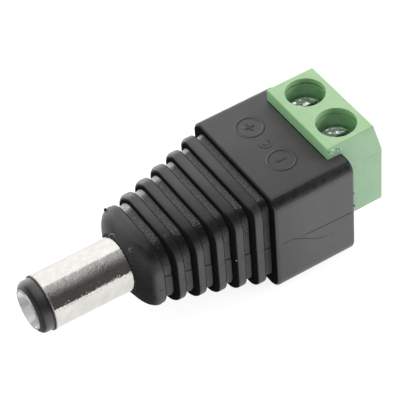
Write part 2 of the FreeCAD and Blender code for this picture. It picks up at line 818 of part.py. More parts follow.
# --------------------------------------------------------------------- write
os.makedirs("parts", exist_ok=True)
for node in NODES:
    node.Shape.exportStep("parts/%s.step" % node.Label)
    box = node.Shape.BoundBox
    print("%-24s %9.3f mm3  x %.2f..%.2f  y %.2f..%.2f  z %.2f..%.2f" % (
        node.Label, node.Shape.Volume, box.XMin, box.XMax, box.YMin, box.YMax, box.ZMin, box.ZMax))
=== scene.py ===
import json
import math
import random

import bmesh
import bpy
from mathutils import Matrix, Vector
from mathutils.bvhtree import BVHTree


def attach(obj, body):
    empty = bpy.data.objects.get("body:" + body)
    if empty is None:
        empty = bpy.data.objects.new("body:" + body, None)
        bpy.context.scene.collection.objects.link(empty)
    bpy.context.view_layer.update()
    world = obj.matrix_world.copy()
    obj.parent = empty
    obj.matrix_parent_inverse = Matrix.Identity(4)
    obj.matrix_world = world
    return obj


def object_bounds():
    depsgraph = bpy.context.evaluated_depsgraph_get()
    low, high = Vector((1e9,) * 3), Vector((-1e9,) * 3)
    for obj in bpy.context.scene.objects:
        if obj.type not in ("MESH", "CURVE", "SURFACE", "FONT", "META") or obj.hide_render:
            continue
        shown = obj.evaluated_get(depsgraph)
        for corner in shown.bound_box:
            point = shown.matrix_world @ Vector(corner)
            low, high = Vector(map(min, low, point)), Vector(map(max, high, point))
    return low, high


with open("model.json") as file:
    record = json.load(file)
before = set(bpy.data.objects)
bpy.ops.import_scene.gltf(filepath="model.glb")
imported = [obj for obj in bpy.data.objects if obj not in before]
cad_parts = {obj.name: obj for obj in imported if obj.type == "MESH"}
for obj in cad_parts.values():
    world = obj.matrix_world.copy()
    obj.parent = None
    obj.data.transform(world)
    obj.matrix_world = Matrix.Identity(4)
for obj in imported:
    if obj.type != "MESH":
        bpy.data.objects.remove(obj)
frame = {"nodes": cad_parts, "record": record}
nodes = frame["nodes"]
CAD_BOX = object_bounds()
MM = 0.001
scene = bpy.context.scene

# ------------------------------------------------------------------ camera
AZ, EL, ROLL = -0.50160, 0.80280, -0.0915
TX, TY, DIST, FOCAL = 7.5972, 5.8960, 182.8627, 2000.1
back = Vector((math.sin(AZ) * math.cos(EL), -math.cos(AZ) * math.cos(EL), math.sin(EL)))
right = Vector((math.cos(AZ), math.sin(AZ), 0))
up = back.cross(right)
r2 = math.cos(ROLL) * right + math.sin(ROLL) * up
u2 = -math.sin(ROLL) * right + math.cos(ROLL) * up
place = (r2 * TX + u2 * TY + back * DIST - Vector((0.27, 0, 0))) * MM
cam_data = bpy.data.cameras.new("camera")
cam_data.sensor_width = 36
cam_data.lens = FOCAL / 400 * 36
cam_data.clip_start, cam_data.clip_end = 0.01, 10
camera = bpy.data.objects.new("camera", cam_data)
scene.collection.objects.link(camera)
turn = Matrix((r2, u2, back)).transposed().to_4x4()
camera.matrix_world = Matrix.Translation(place) @ turn
scene.camera = camera

# ------------------------------------------------------------- light, floor
scene.view_settings.view_transform = "Standard"
scene.view_settings.look = "None"
scene.view_settings.exposure = 0
scene.view_settings.gamma = 1


class Graph:
    """Short names for building a node tree."""

    def __init__(self, tree):
        self.tree = tree
        tree.nodes.clear()

    def new(self, kind, **settings):
        node = self.tree.nodes.new(kind)
        for key, value in settings.items():
            setattr(node, key, value)
        return node

    def put(self, socket, value):
        if hasattr(value, "is_output"):
            self.tree.links.new(value, socket)
        else:
            socket.default_value = value

    def math(self, op, a, b=0.0, c=0.0, clamp=False):
        node = self.new("ShaderNodeMath", operation=op, use_clamp=clamp)
        for socket, value in zip(node.inputs, (a, b, c)):
            self.put(socket, value)
        return node.outputs[0]

    def add(self, a, b):
        return self.math("ADD", a, b)

    def sub(self, a, b):
        return self.math("SUBTRACT", a, b)

    def mul(self, a, b):
        return self.math("MULTIPLY", a, b)

    def both(self, a, b):
        return self.math("MULTIPLY", a, b, clamp=True)

    def ramp(self, value, low, high, out_low=0.0, out_high=1.0, smooth=True):
        """Map a range, smoothly, with its ends held."""
        node = self.new("ShaderNodeMapRange", interpolation_type="SMOOTHSTEP" if smooth else "LINEAR", clamp=True)
        for name, number in (("From Min", low), ("From Max", high), ("To Min", out_low), ("To Max", out_high)):
            self.put(node.inputs[name], number)
        self.put(node.inputs["Value"], value)
        return node.outputs["Result"]

    def mix(self, share, a, b):
        node = self.new("ShaderNodeMix", data_type="RGBA")
        self.put(node.inputs["Factor"], share)
        for name, value in (("A", a), ("B", b)):
            socket = [s for s in node.inputs if s.name == name and s.type == "RGBA"][0]
            self.put(socket, tuple(value) + (1,) if isinstance(value, (tuple, list)) and len(value) == 3 else value)
        return [s for s in node.outputs if s.type == "RGBA"][0]

    def blend(self, share, a, b):
        node = self.new("ShaderNodeMix", data_type="FLOAT")
        self.put(node.inputs["Factor"], share)
        for name, value in (("A", a), ("B", b)):
            socket = [s for s in node.inputs if s.name == name and s.type == "VALUE"][0]
            self.put(socket, value)
        return [s for s in node.outputs if s.type == "VALUE"][0]

    def noise(self, vector, scale, detail=2.0, rough=0.5, distortion=0.0):
        node = self.new("ShaderNodeTexNoise")
        self.put(node.inputs["Vector"], vector)
        for name, number in (("Scale", scale), ("Detail", detail), ("Roughness", rough), ("Distortion", distortion)):
            self.put(node.inputs[name], number)
        return node.outputs["Fac"]

    def cells(self, vector, scale, feature="F1", random_=1.0):
        node = self.new("ShaderNodeTexVoronoi", feature=feature)
        self.put(node.inputs["Vector"], vector)
        self.put(node.inputs["Scale"], scale)
        self.put(node.inputs["Randomness"], random_)
        return node

    def stretch(self, vector, scale):
        node = self.new("ShaderNodeVectorMath", operation="MULTIPLY")
        self.put(node.inputs[0], vector)
        node.inputs[1].default_value = scale
        return node.outputs[0]

    def split(self, vector):
        node = self.new("ShaderNodeSeparateXYZ")
        self.put(node.inputs[0], vector)
        return node.outputs[0], node.outputs[1], node.outputs[2]


world = bpy.data.worlds.new("studio")
scene.world = world
world.use_nodes = True
g = Graph(world.node_tree)
direction = g.new("ShaderNodeTexCoord").outputs["Generated"]
dx, dy, dz = g.split(direction)
# front of the room falls from grey overhead to near dark at eye level
lift = g.ramp(dz, 0.35, 1.0, smooth=False)
front = g.math("MULTIPLY_ADD", g.math("POWER", lift, 5.0), 0.68, 0.090)
# white wall and ceiling behind and above
behind = g.ramp(dy, 0.11, 0.22)
wall = g.ramp(dx, -0.60, 0.10, 0.55, 1.40)
zenith = g.both(g.ramp(dz, 0.90, 0.975), g.ramp(dx, 0.24, 0.08))
sky = g.add(g.blend(behind, front, wall), g.mul(zenith, 1.1))
low = g.ramp(dz, -0.02, 0.02)
level = g.blend(low, 1.0, sky)
shade = g.new("ShaderNodeBackground")
shade.inputs["Color"].default_value = (1, 1, 1, 1)
g.put(shade.inputs["Strength"], level)
plain = g.new("ShaderNodeBackground")
plain.inputs["Color"].default_value = (1, 1, 1, 1)
plain.inputs["Strength"].default_value = 1.0
choose = g.new("ShaderNodeMixShader")
g.put(choose.inputs["Fac"], g.new("ShaderNodeLightPath").outputs["Is Camera Ray"])
g.put(choose.inputs[1], shade.outputs[0])
g.put(choose.inputs[2], plain.outputs[0])
g.put(g.new("ShaderNodeOutputWorld").inputs["Surface"], choose.outputs[0])


def softbox(name, where, target, size, power, color=(1, 1, 1)):
    data = bpy.data.lights.new(name, "AREA")
    data.shape = "RECTANGLE"
    data.size, data.size_y = size
    data.energy = power
    data.color = color
    lamp = bpy.data.objects.new(name, data)
    scene.collection.objects.link(lamp)
    lamp.location = where
    aim = Vector(target) - Vector(where)
    lamp.rotation_mode = "QUATERNION"
    lamp.rotation_quaternion = aim.to_track_quat("-Z", "Y")
    return lamp


FLOOR = CAD_BOX[0].z
softbox("softbox_back", (0.20, 0.20, 0.20), (0.01, 0, 0), (0.14, 0.14), 0.12)
key = softbox("softbox_front", (0.28, -0.22, 0.09), (0.01, 0, 0), (0.14, 0.14), 0.7)
key.visible_glossy = False
fill = softbox("softbox_left", (-0.28, 0.10, 0.06), (0.01, 0, 0), (0.12, 0.12), 0.30)
fill.visible_glossy = False


def material(name):
    mat = bpy.data.materials.new(name)
    mat.use_nodes = True
    g = Graph(mat.node_tree)
    shader = g.new("ShaderNodeBsdfPrincipled")
    out = g.new("ShaderNodeOutputMaterial")
    g.put(out.inputs["Surface"], shader.outputs[0])
    coord = g.new("ShaderNodeTexCoord")
    return mat, g, shader, coord.outputs["Object"], coord.outputs["Normal"]


def bump(g, shader, height, distance, strength=1.0, under=None):
    node = g.new("ShaderNodeBump")
    node.inputs["Strength"].default_value = strength
    node.inputs["Distance"].default_value = distance
    g.put(node.inputs["Height"], height)
    if under is not None:
        g.put(node.inputs["Normal"], under)
    g.put(shader.inputs["Normal"], node.outputs[0])
    return node.outputs[0]


def dull(g, shader, share, color):
    """Lay a matte, unpolished skin over a share of the surface."""
    matte = g.new("ShaderNodeBsdfDiffuse")
    g.put(matte.inputs["Color"], color)
    g.tree.links.new(shader.inputs["Normal"].links[0].from_socket, matte.inputs["Normal"])
    skin = g.new("ShaderNodeMixShader")
    g.put(skin.inputs["Fac"], share)
    g.put(skin.inputs[1], shader.outputs[0])
    g.put(skin.inputs[2], matte.outputs[0])
    out = [n for n in g.tree.nodes if n.type == "OUTPUT_MATERIAL"][0]
    g.put(out.inputs["Surface"], skin.outputs[0])


# floor
bpy.ops.mesh.primitive_plane_add(size=6, location=(0, 0, FLOOR - 0.00001))
floor = bpy.context.active_object
floor.name = "floor"
mat, g, shader, pos, nrm = material("floor_paper")
shader.inputs["Roughness"].default_value = 0.9
shader.inputs["Specular IOR Level"].default_value = 0.1
shader.inputs["Emission Color"].default_value = (1, 1, 1, 1)
shader.inputs["Emission Strength"].default_value = 0.86
paper = g.noise(pos, 220.0, 4.0, 0.6)
g.put(shader.inputs["Base Color"], g.mix(paper, (0.37, 0.37, 0.37), (0.39, 0.39, 0.39)))
bump(g, shader, g.noise(pos, 1500.0, 3.0, 0.6), 0.00002)
floor.data.materials.append(mat)

# --------------------------------------------------------------- materials
GRAIN = 1000.0  # texture lengths below are given per millimetre


SCRATCH = [(13.50, 0.09), (14.04, 0.11), (14.61, 0.06), (15.82, -0.61), (17.03, -1.44), (18.16, -1.80), (18.93, -1.85)]


def near_line(g, u, v, points, width):
    """1 on a line through the points (millimetres), 0 away from it."""
    best = None
    for (u0, v0), (u1, v1) in zip(points, points[1:]):
        du, dv = u1 - u0, v1 - v0
        size = du * du + dv * dv
        pu, pv = g.sub(u, u0 * MM), g.sub(v, v0 * MM)
        share = g.math("MULTIPLY_ADD", pu, du / size / MM, g.mul(pv, dv / size / MM), clamp=True)
        eu, ev = g.sub(pu, g.mul(share, du * MM)), g.sub(pv, g.mul(share, dv * MM))
        gap = g.math("SQRT", g.add(g.mul(eu, eu), g.mul(ev, ev)))
        best = gap if best is None else g.math("MINIMUM", best, gap)
    return g.ramp(best, width * 0.5 * MM, width * MM, 1.0, 0.0)


def black_moulding():
    """Satin black plastic: polished corners, spark-rough groove floors, dull forward walls."""
    mat, g, shader, pos, nrm = material("black_moulding")
    x, y, z = g.split(pos)
    nx, ny, nz = g.split(nrm)
    ax, ay, az = g.math("ABSOLUTE", nx), g.math("ABSOLUTE", ny), g.math("ABSOLUTE", nz)
    cloud = g.noise(pos, 0.22 * GRAIN, 4.0, 0.6)
    fine = g.noise(pos, 5.0 * GRAIN, 3.0, 0.65)
    finest = g.noise(pos, 8.0 * GRAIN, 2.0, 0.6)
    middle = g.noise(pos, 1.5 * GRAIN, 3.0, 0.55)
    tone = g.ramp(cloud, 0.35, 0.68, 0.0, 1.0)
    # groove floors between the ribs
    run = g.math("DIVIDE", g.sub(x, 2.14 * MM), 1.962 * MM)
    share = g.math("FRACT", run)
    index = g.math("FLOOR", run)
    width = g.math("MULTIPLY_ADD", index, -0.0189, 0.428)
    groove = g.math("LESS_THAN", share, g.sub(width, 0.012))
    groove = g.both(groove, g.math("GREATER_THAN", share, 0.012))
    groove = g.both(groove, g.math("GREATER_THAN", x, 2.10 * MM))
    groove = g.both(groove, g.math("LESS_THAN", x, 12.69 * MM))
    groove = g.both(groove, g.math("LESS_THAN", ax, 0.5))
    # the sparks fade out unevenly below the upper corner
    upper = g.ramp(g.add(z, g.mul(g.sub(middle, 0.5), 3.0 * MM)), 0.6 * MM, 2.4 * MM)
    rough_floor = g.both(groove, g.blend(upper, 0.18, 1.0))
    nose = g.both(g.math("LESS_THAN", x, 1.95 * MM), 1.0)
    block = g.math("GREATER_THAN", x, 12.75 * MM)
    ribs = g.math("LESS_THAN", x, 12.72 * MM)
    # rear rim of each crest, a little ragged where the mould halves part; its thin dark line is painted shade
    rim = g.both(g.math("GREATER_THAN", g.add(share, g.mul(g.sub(fine, 0.5), 0.12)), 0.915), ribs)
    rim = g.both(rim, g.ramp(nx, 0.12, 0.40))
    # the upper long corners are polished; flats and front rounds are satin
    flat = g.math("MAXIMUM", g.math("MAXIMUM", ax, ay), az)
    corner = g.both(g.ramp(flat, 0.995, 0.93), g.ramp(nz, 0.10, 0.40))
    edge = g.both(corner, g.blend(ribs, 1.0, g.ramp(ay, 0.12, 0.35)))
    polished = g.both(edge, g.blend(block, 0.6, 1.0))
    # colour: carbon black, a little greyer in random clouds where handled or dusty
    matte_top = g.ramp(az, 0.90, 0.99)
    sideways = g.ramp(g.sub(ay, az), -0.20, 0.35)
    top = g.mix(tone, (0.062, 0.062, 0.0625), (0.073, 0.073, 0.0735))
    # painted shade: the tops darken towards the near side
    top = g.mix(g.ramp(y, 3.0 * MM, -6.0 * MM, 0.0, 0.30, smooth=False), top, (0.032, 0.032, 0.032))
    # painted shade: the near crest tops are darker still, most at the front
    near_crest = g.both(ribs, g.ramp(y, 1.5 * MM, g.ramp(x, 2.0 * MM, 10.0 * MM, -2.8 * MM, -4.6 * MM)))
    top = g.mix(g.mul(near_crest, g.ramp(x, 1.5 * MM, 5.0 * MM, 1.0, 0.72)), top, (0.017, 0.017, 0.017))
    # painted light: the tops lighten towards the far side
    top = g.mix(g.mul(g.ramp(y, 0.0, 4.5 * MM), 0.25), top, (0.095, 0.095, 0.0955))
    side_front = g.mix(tone, (0.042, 0.042, 0.043), (0.051, 0.051, 0.052))
    side_rear = g.mix(tone, (0.063, 0.063, 0.064), (0.074, 0.074, 0.075))
    side = g.mix(g.ramp(x, 12.8 * MM, 16.5 * MM), side_front, side_rear)
    # painted shade: rib faces that turn downwards are darker
    side = g.mix(g.both(g.ramp(nz, -0.15, -0.55), ribs), side, (0.030, 0.030, 0.0305))
    color = g.mix(sideways, top, side)
    # painted reflection: the rounded corners are painted dark, for the dark surroundings they mirror, and lighter
    # towards the rear
    along = g.math("MAXIMUM", g.ramp(x, 13.0 * MM, 21.0 * MM, smooth=False), g.both(ribs, g.ramp(x, 9.9 * MM, 11.2 * MM)))
    edge_low = g.mix(along, (0.0120, 0.0120, 0.0123), (0.0270, 0.0272, 0.0270))
    edge_high = g.mix(along, (0.0165, 0.0165, 0.0168), (0.0370, 0.0375, 0.0370))
    rounded = g.mix(g.ramp(middle, 0.40, 0.66), edge_low, edge_high)
    color = g.mix(edge, color, rounded)
    # walls that face forward: dull, and painted nearly black as painted shade
    beside = g.ramp(ay, 0.02, 0.85)
    wall_rib = g.ramp(nx, g.blend(beside, -0.50, -0.10), g.blend(beside, -0.85, -0.45))
    wall_block = g.ramp(nx, g.blend(beside, -0.45, -0.78), g.blend(beside, -0.88, -0.98))
    wall_nose = g.ramp(nx, g.blend(beside, -0.36, -0.20), g.blend(beside, -0.88, -0.74))
    wall_nose = g.mul(wall_nose, g.ramp(ny, 0.10, -0.30, 0.90, 1.0))
    wall = g.blend(block, g.blend(nose, wall_rib, wall_nose), wall_block)
    wall = g.mul(wall, g.ramp(ny, 0.05, 0.50, 1.0, 0.35))
    wall_color = g.blend(nose, g.ramp(fine, 0.35, 0.70, 0.0085, 0.0125), g.blend(g.ramp(nz, 0.0, 0.60), g.ramp(fine, 0.30, 0.75, 0.024, 0.040), g.ramp(fine, 0.30, 0.75, 0.046, 0.070)))
    # sparks: the floors' near corners are painted darker as painted shade, and the specks on the near slope brighter
    # as painted light
    painted_shading = g.both(groove, g.both(g.ramp(g.add(ny, g.mul(g.sub(middle, 0.5), 0.30)), -0.28, -0.46), g.ramp(nz, 0.12, 0.40)))
    rough_floor = g.both(rough_floor, g.sub(1.0, g.mul(painted_shading, 0.85)))
    speck_mask = g.both(g.ramp(ny, -0.02, -0.12), g.ramp(ny, -0.42, -0.30))
    color = g.mix(g.mul(rough_floor, 0.62), color, (0.020, 0.020, 0.020))
    color = g.mix(g.mul(painted_shading, 0.85), color, (0.010, 0.010, 0.010))
    share_spark = g.mul(g.ramp(finest, 0.52, 0.66), g.ramp(x, 2.0 * MM, 8.0 * MM, 0.78, 1.0))
    color = g.mix(g.both(rough_floor, share_spark), color, g.mix(speck_mask, (0.160, 0.161, 0.161), (0.310, 0.310, 0.307)))
    # painted light: rounds of the ribs that face the far side are lighter, in specks
    far_round_light = g.both(g.both(ribs, g.sub(1.0, groove)), g.both(g.ramp(ny, 0.10, 0.36), g.ramp(ny, 0.92, 0.70)))
    far_round_light = g.both(g.both(far_round_light, g.ramp(nx, -0.92, -0.66)), g.sub(1.0, g.mul(nose, 0.65)))
    color = g.mix(g.mul(far_round_light, g.ramp(fine, 0.36, 0.64, 0.35, 0.95)), color, (0.200, 0.200, 0.198))
    # painted light: the far ends of the groove floors are lighter
    far_end = g.both(groove, g.both(g.ramp(g.add(ny, g.mul(g.sub(middle, 0.5), 0.20)), 0.03, 0.26), g.ramp(ny, 0.94, 0.72)))
    color = g.mix(far_end, color, g.mix(g.ramp(fine, 0.40, 0.62), (0.320, 0.320, 0.318), (0.540, 0.540, 0.535)))
    color = g.mix(g.mul(rim, 0.92), color, (0.002, 0.002, 0.002))
    # painted shade and light along both feet of the raised rings: dark on the side away from the light, light on the
    # side towards it
    ring_x = g.sub(x, 16.47 * MM)
    off = g.sub(y, 0.20 * MM)
    ring_y = g.sub(off, g.mul(g.math("SIGN", off), 2.65 * MM))
    ring_r = g.math("SQRT", g.add(g.mul(ring_x, ring_x), g.mul(ring_y, ring_y)))
    toward = g.add(g.mul(ring_x, 0.877 / (1.31 * MM)), g.mul(ring_y, -0.480 / (1.31 * MM)))
    relief = g.mul(g.ramp(ring_r, 1.25 * MM, 1.37 * MM, -1.0, 1.0), toward)
    ring_d = g.math("ABSOLUTE", g.sub(ring_r, 1.31 * MM))
    foot = g.both(g.ramp(ring_d, 0.21 * MM, 0.10 * MM), g.both(g.ramp(nz, 0.5, 0.8), block))
    broken = g.ramp(middle, 0.34, 0.60, 0.40, 1.0)
    ring_shade = g.both(g.both(foot, broken), g.ramp(relief, -0.15, 0.55, 0.15, 1.0))
    ring_light = g.both(g.both(foot, broken), g.ramp(relief, -0.10, -0.60))
    color = g.mix(g.mul(ring_shade, 0.75), color, (0.008, 0.008, 0.008))
    color = g.mix(g.mul(ring_light, 0.60), color, (0.170, 0.170, 0.170))
    # the bars of the plus and the minus are darkened in broken patches
    far_x, far_y = g.math("ABSOLUTE", ring_x), g.math("ABSOLUTE", ring_y)
    bar = g.both(g.ramp(far_x, 0.60 * MM, 0.48 * MM), g.ramp(far_y, 0.15 * MM, 0.08 * MM))
    cross = g.both(g.ramp(far_y, 0.60 * MM, 0.48 * MM), g.ramp(far_x, 0.15 * MM, 0.08 * MM))
    bars = g.math("MAXIMUM", bar, g.both(cross, g.math("GREATER_THAN", off, 0.0)))
    bars = g.both(g.both(bars, broken), g.both(g.ramp(nz, 0.5, 0.8), block))
    color = g.mix(g.mul(bars, 0.60), color, (0.010, 0.010, 0.010))
    # specks of dust, most on top
    dust_cells = g.cells(pos, 1.15 * GRAIN)
    spot = g.math("LESS_THAN", dust_cells.outputs["Distance"], 0.085)
    pick = g.split(dust_cells.outputs["Color"])[0]
    dust = g.both(spot, g.math("GREATER_THAN", pick, 0.80))
    dust = g.both(dust, g.math("GREATER_THAN", nz, 0.6))
    color = g.mix(g.mul(dust, 0.5), color, (0.20, 0.20, 0.195))
    # one long scratch on the near side
    scratch = near_line(g, x, z, SCRATCH, 0.055)
    scratch = g.both(scratch, g.math("LESS_THAN", y, -6.85 * MM))
    scratch = g.both(scratch, g.ramp(middle, 0.30, 0.50, 0.55, 1.0))
    color = g.mix(g.mul(scratch, 0.85), color, (0.006, 0.006, 0.006))
    g.put(shader.inputs["Base Color"], color)
    # roughness
    streak = g.noise(g.stretch(pos, (0.6, 1.6, 1.6)), 1.4 * GRAIN, 4.0, 0.6)
    satin = g.blend(block, g.ramp(streak, 0.3, 0.7, 0.38, 0.48), g.ramp(streak, 0.3, 0.7, 0.30, 0.38))
    satin = g.blend(matte_top, satin, g.ramp(streak, 0.3, 0.7, 0.52, 0.60))
    level = g.blend(polished, satin, g.ramp(middle, 0.35, 0.65, 0.26, 0.38))
    level = g.blend(rough_floor, level, 0.44)
    level = g.blend(far_end, level, 0.30)
    level = g.blend(rim, level, 0.95)
    level = g.math("ADD", level, g.mul(g.math("MAXIMUM", dust, scratch), 0.3), clamp=True)
    g.put(shader.inputs["Roughness"], level)
    shader.inputs["Specular IOR Level"].default_value = 0.5
    shader.inputs["IOR"].default_value = 1.50
    # relief: moulded satin grain, sparks in the grooves, slightly crowned ribs,
    # and a wavy, grained long edge on the block
    grain = g.mul(g.noise(pos, 7.0 * GRAIN, 2.0, 0.5), 0.0025)
    wave = g.mul(g.noise(pos, 0.55 * GRAIN, 2.0, 0.5), 0.020)
    spark = g.mul(finest, g.mul(g.both(rough_floor, g.sub(1.0, far_end)), 0.060))
    nose_grain = g.mul(g.noise(pos, 5.0 * GRAIN, 2.0, 0.6), g.mul(nose, 0.013))
    long_edge = g.both(g.both(edge, block), g.math("LESS_THAN", ax, 0.3))
    ripple = g.mul(g.noise(pos, 0.9 * GRAIN, 3.0, 0.55), g.mul(long_edge, 0.028))
    ripple = g.add(ripple, g.mul(fine, g.mul(long_edge, 0.017)))
    ym = g.mul(y, 1.0 / MM)
    bend = g.blend(ribs, -0.012, g.ramp(x, 2.0 * MM, 11.0 * MM, -0.030, -0.014, smooth=False))
    crown = g.mul(g.mul(ym, ym), bend)
    height = g.add(g.add(grain, wave), g.add(spark, nose_grain))
    height = g.add(g.add(height, ripple), g.add(crown, g.mul(scratch, -0.03)))
    bump(g, shader, height, MM)
    # the matte skin: forward walls all over, flat tops about half
    # the matte skin is a little lighter than the colour, less so on the near crest tops, as painted shade
    brighter = g.new("ShaderNodeVectorMath", operation="ADD")
    g.put(brighter.inputs[0], color)
    g.put(brighter.inputs[1], g.mix(g.mul(near_crest, 0.6), (0.040, 0.040, 0.040), (0.010, 0.010, 0.010)))
    wall = g.mul(wall, g.sub(1.0, g.mul(far_round_light, 0.9)))
    skin = g.mix(wall, brighter.outputs[0], g.mix(wall_color, (0, 0, 0), (1, 1, 1)))
    soft = g.both(g.ramp(nz, 0.90, 0.99), g.sub(1.0, g.math("MAXIMUM", groove, rim)))
    dull(g, shader, g.math("MAXIMUM", wall, g.mul(soft, 0.55)), skin)
    return mat


def black_bush():
    mat, g, shader, pos, nrm = material("black_bush")
    cloud = g.noise(pos, 0.9 * GRAIN, 3.0, 0.55)
    nx, ny, nz = g.split(nrm)
    tone = g.mix(g.ramp(cloud, 0.35, 0.65), (0.020, 0.020, 0.021), (0.030, 0.030, 0.031))
    # painted highlight: the ring's upper far side is painted lighter, as its sheen
    painted_shading = g.both(g.ramp(ny, 0.05, 0.60), g.ramp(nz, 0.20, 0.70))
    g.put(shader.inputs["Base Color"], g.mix(g.mul(painted_shading, 0.8), tone, (0.200, 0.200, 0.200)))
    g.put(shader.inputs["Roughness"], g.ramp(g.noise(pos, 1.7 * GRAIN, 3.0, 0.6), 0.3, 0.7, 0.36, 0.46))
    fine = g.mul(g.noise(pos, 6.0 * GRAIN, 2.0, 0.5), 0.003)
    slow = g.mul(g.noise(pos, 0.9 * GRAIN, 2.0, 0.5), 0.012)
    shader.inputs["Coat Weight"].default_value = 0.8
    shader.inputs["Coat Roughness"].default_value = 0.38
    x, y, z = g.split(pos)
    ahead = g.math("MULTIPLY_ADD", x, -1.0 / MM, -8.29, clamp=False)
    ahead = g.ramp(ahead, 0.0, 0.80, 0.0, 0.80, smooth=False)
    swell = g.mul(g.mul(ahead, ahead), -0.34)
    bump(g, shader, g.add(g.add(fine, slow), swell), MM)
    blunt = g.both(g.ramp(nx, -0.12, -0.62), g.ramp(ny, 0.40, -0.10))
    dull(g, shader, g.mul(blunt, 0.80), g.ramp(cloud, 0.30, 0.70, 0.014, 0.026))
    return mat


def metal(name, tint, dark, rough_low, rough_high, stretch, scale, pits, wave=0.006, grit=0.0, metallic=1.0, kind=""):
    """Plated metal: a cloudy tint, brushed or rolled streaks, and fine pits."""
    mat, g, shader, pos, nrm = material(name)
    shader.inputs["Metallic"].default_value = metallic
    along = g.stretch(pos, stretch)
    streak = g.noise(along, scale * GRAIN, 4.0, 0.62)
    cloud = g.noise(pos, 0.55 * GRAIN, 4.0, 0.6)
    color = g.mix(g.ramp(g.add(g.mul(streak, 0.5), g.mul(cloud, 0.5)), 0.36, 0.64), dark, tint)
    if kind == "funnel":
        # turned funnel: four soft fans of painted light and shade, and a darkened forward-facing lip
        x, y, z = g.split(pos)
        nx, ny, nz = g.split(nrm)
        around = g.math("ARCTAN2", g.add(z, g.mul(g.sub(cloud, 0.5), 0.5 * MM)), y)
        fans = g.math("COSINE", g.math("MULTIPLY_ADD", around, 4.0, 1.2))
        fans = g.both(g.ramp(fans, -0.2, 0.9), g.math("LESS_THAN", x, -7.8 * MM))
        color = g.mix(g.mul(fans, 0.90), color, (0.460, 0.470, 0.465))
        lip = g.both(g.ramp(nx, -0.72, -0.86), g.math("LESS_THAN", x, -9.4 * MM))
        color = g.mix(g.mul(lip, 0.95), color, (0.045, 0.045, 0.045))
    if kind == "sleeve":
        # painted reflection: dark specks on two bands of the near side, chosen by the surface's tilt, for dark
        # surroundings mirrored in the plating
        nx, ny, nz = g.split(nrm)
        band = g.both(g.both(g.ramp(nz, 0.62, 0.76), g.ramp(nz, 0.955, 0.88)), g.math("LESS_THAN", ny, 0.0))
        lower = g.both(g.both(g.ramp(nz, 0.28, 0.36), g.ramp(nz, 0.52, 0.42)), g.math("LESS_THAN", ny, 0.0))
        speck = g.ramp(g.noise(pos, 7.0 * GRAIN, 3.0, 0.7), 0.47, 0.60)
        speck_mask = g.ramp(g.noise(g.stretch(pos, (0.5, 1, 1)), 1.1 * GRAIN, 3.0, 0.6), 0.40, 0.58, 0.15, 1.0)
        spotted = g.both(g.both(speck, speck_mask), g.add(band, g.mul(lower, 0.7)))
        color = g.mix(g.mul(spotted, 0.72), color, (0.150, 0.150, 0.148))
    g.put(shader.inputs["Base Color"], color)
    rough = g.ramp(streak, 0.3, 0.7, rough_low, rough_high)
    if kind == "sleeve":
        # the cut front edge is brushed and catches light all round
        cut = g.ramp(g.split(pos)[0], -8.08 * MM, -8.14 * MM)
        rough = g.blend(cut, rough, 0.70)
    g.put(shader.inputs["Roughness"], rough)
    cells = g.cells(pos, 5.5 * GRAIN)
    pit = g.ramp(cells.outputs["Distance"], 0.0, 0.35, -1.0, 0.0)
    keep = g.math("GREATER_THAN", g.split(cells.outputs["Color"])[1], 0.72)
    height = g.add(g.mul(g.both(g.mul(pit, -1.0), keep), -pits), g.mul(streak, wave * 0.35))
    height = g.add(height, g.mul(cloud, wave))
    if grit:
        patch = g.ramp(g.noise(pos, 0.9 * GRAIN, 3.0, 0.6), 0.44, 0.60, 0.10, 1.0)
        height = g.add(height, g.mul(g.noise(pos, 9.0 * GRAIN, 2.0, 0.6), g.mul(patch, grit)))
    bump(g, shader, height, MM)
    return mat


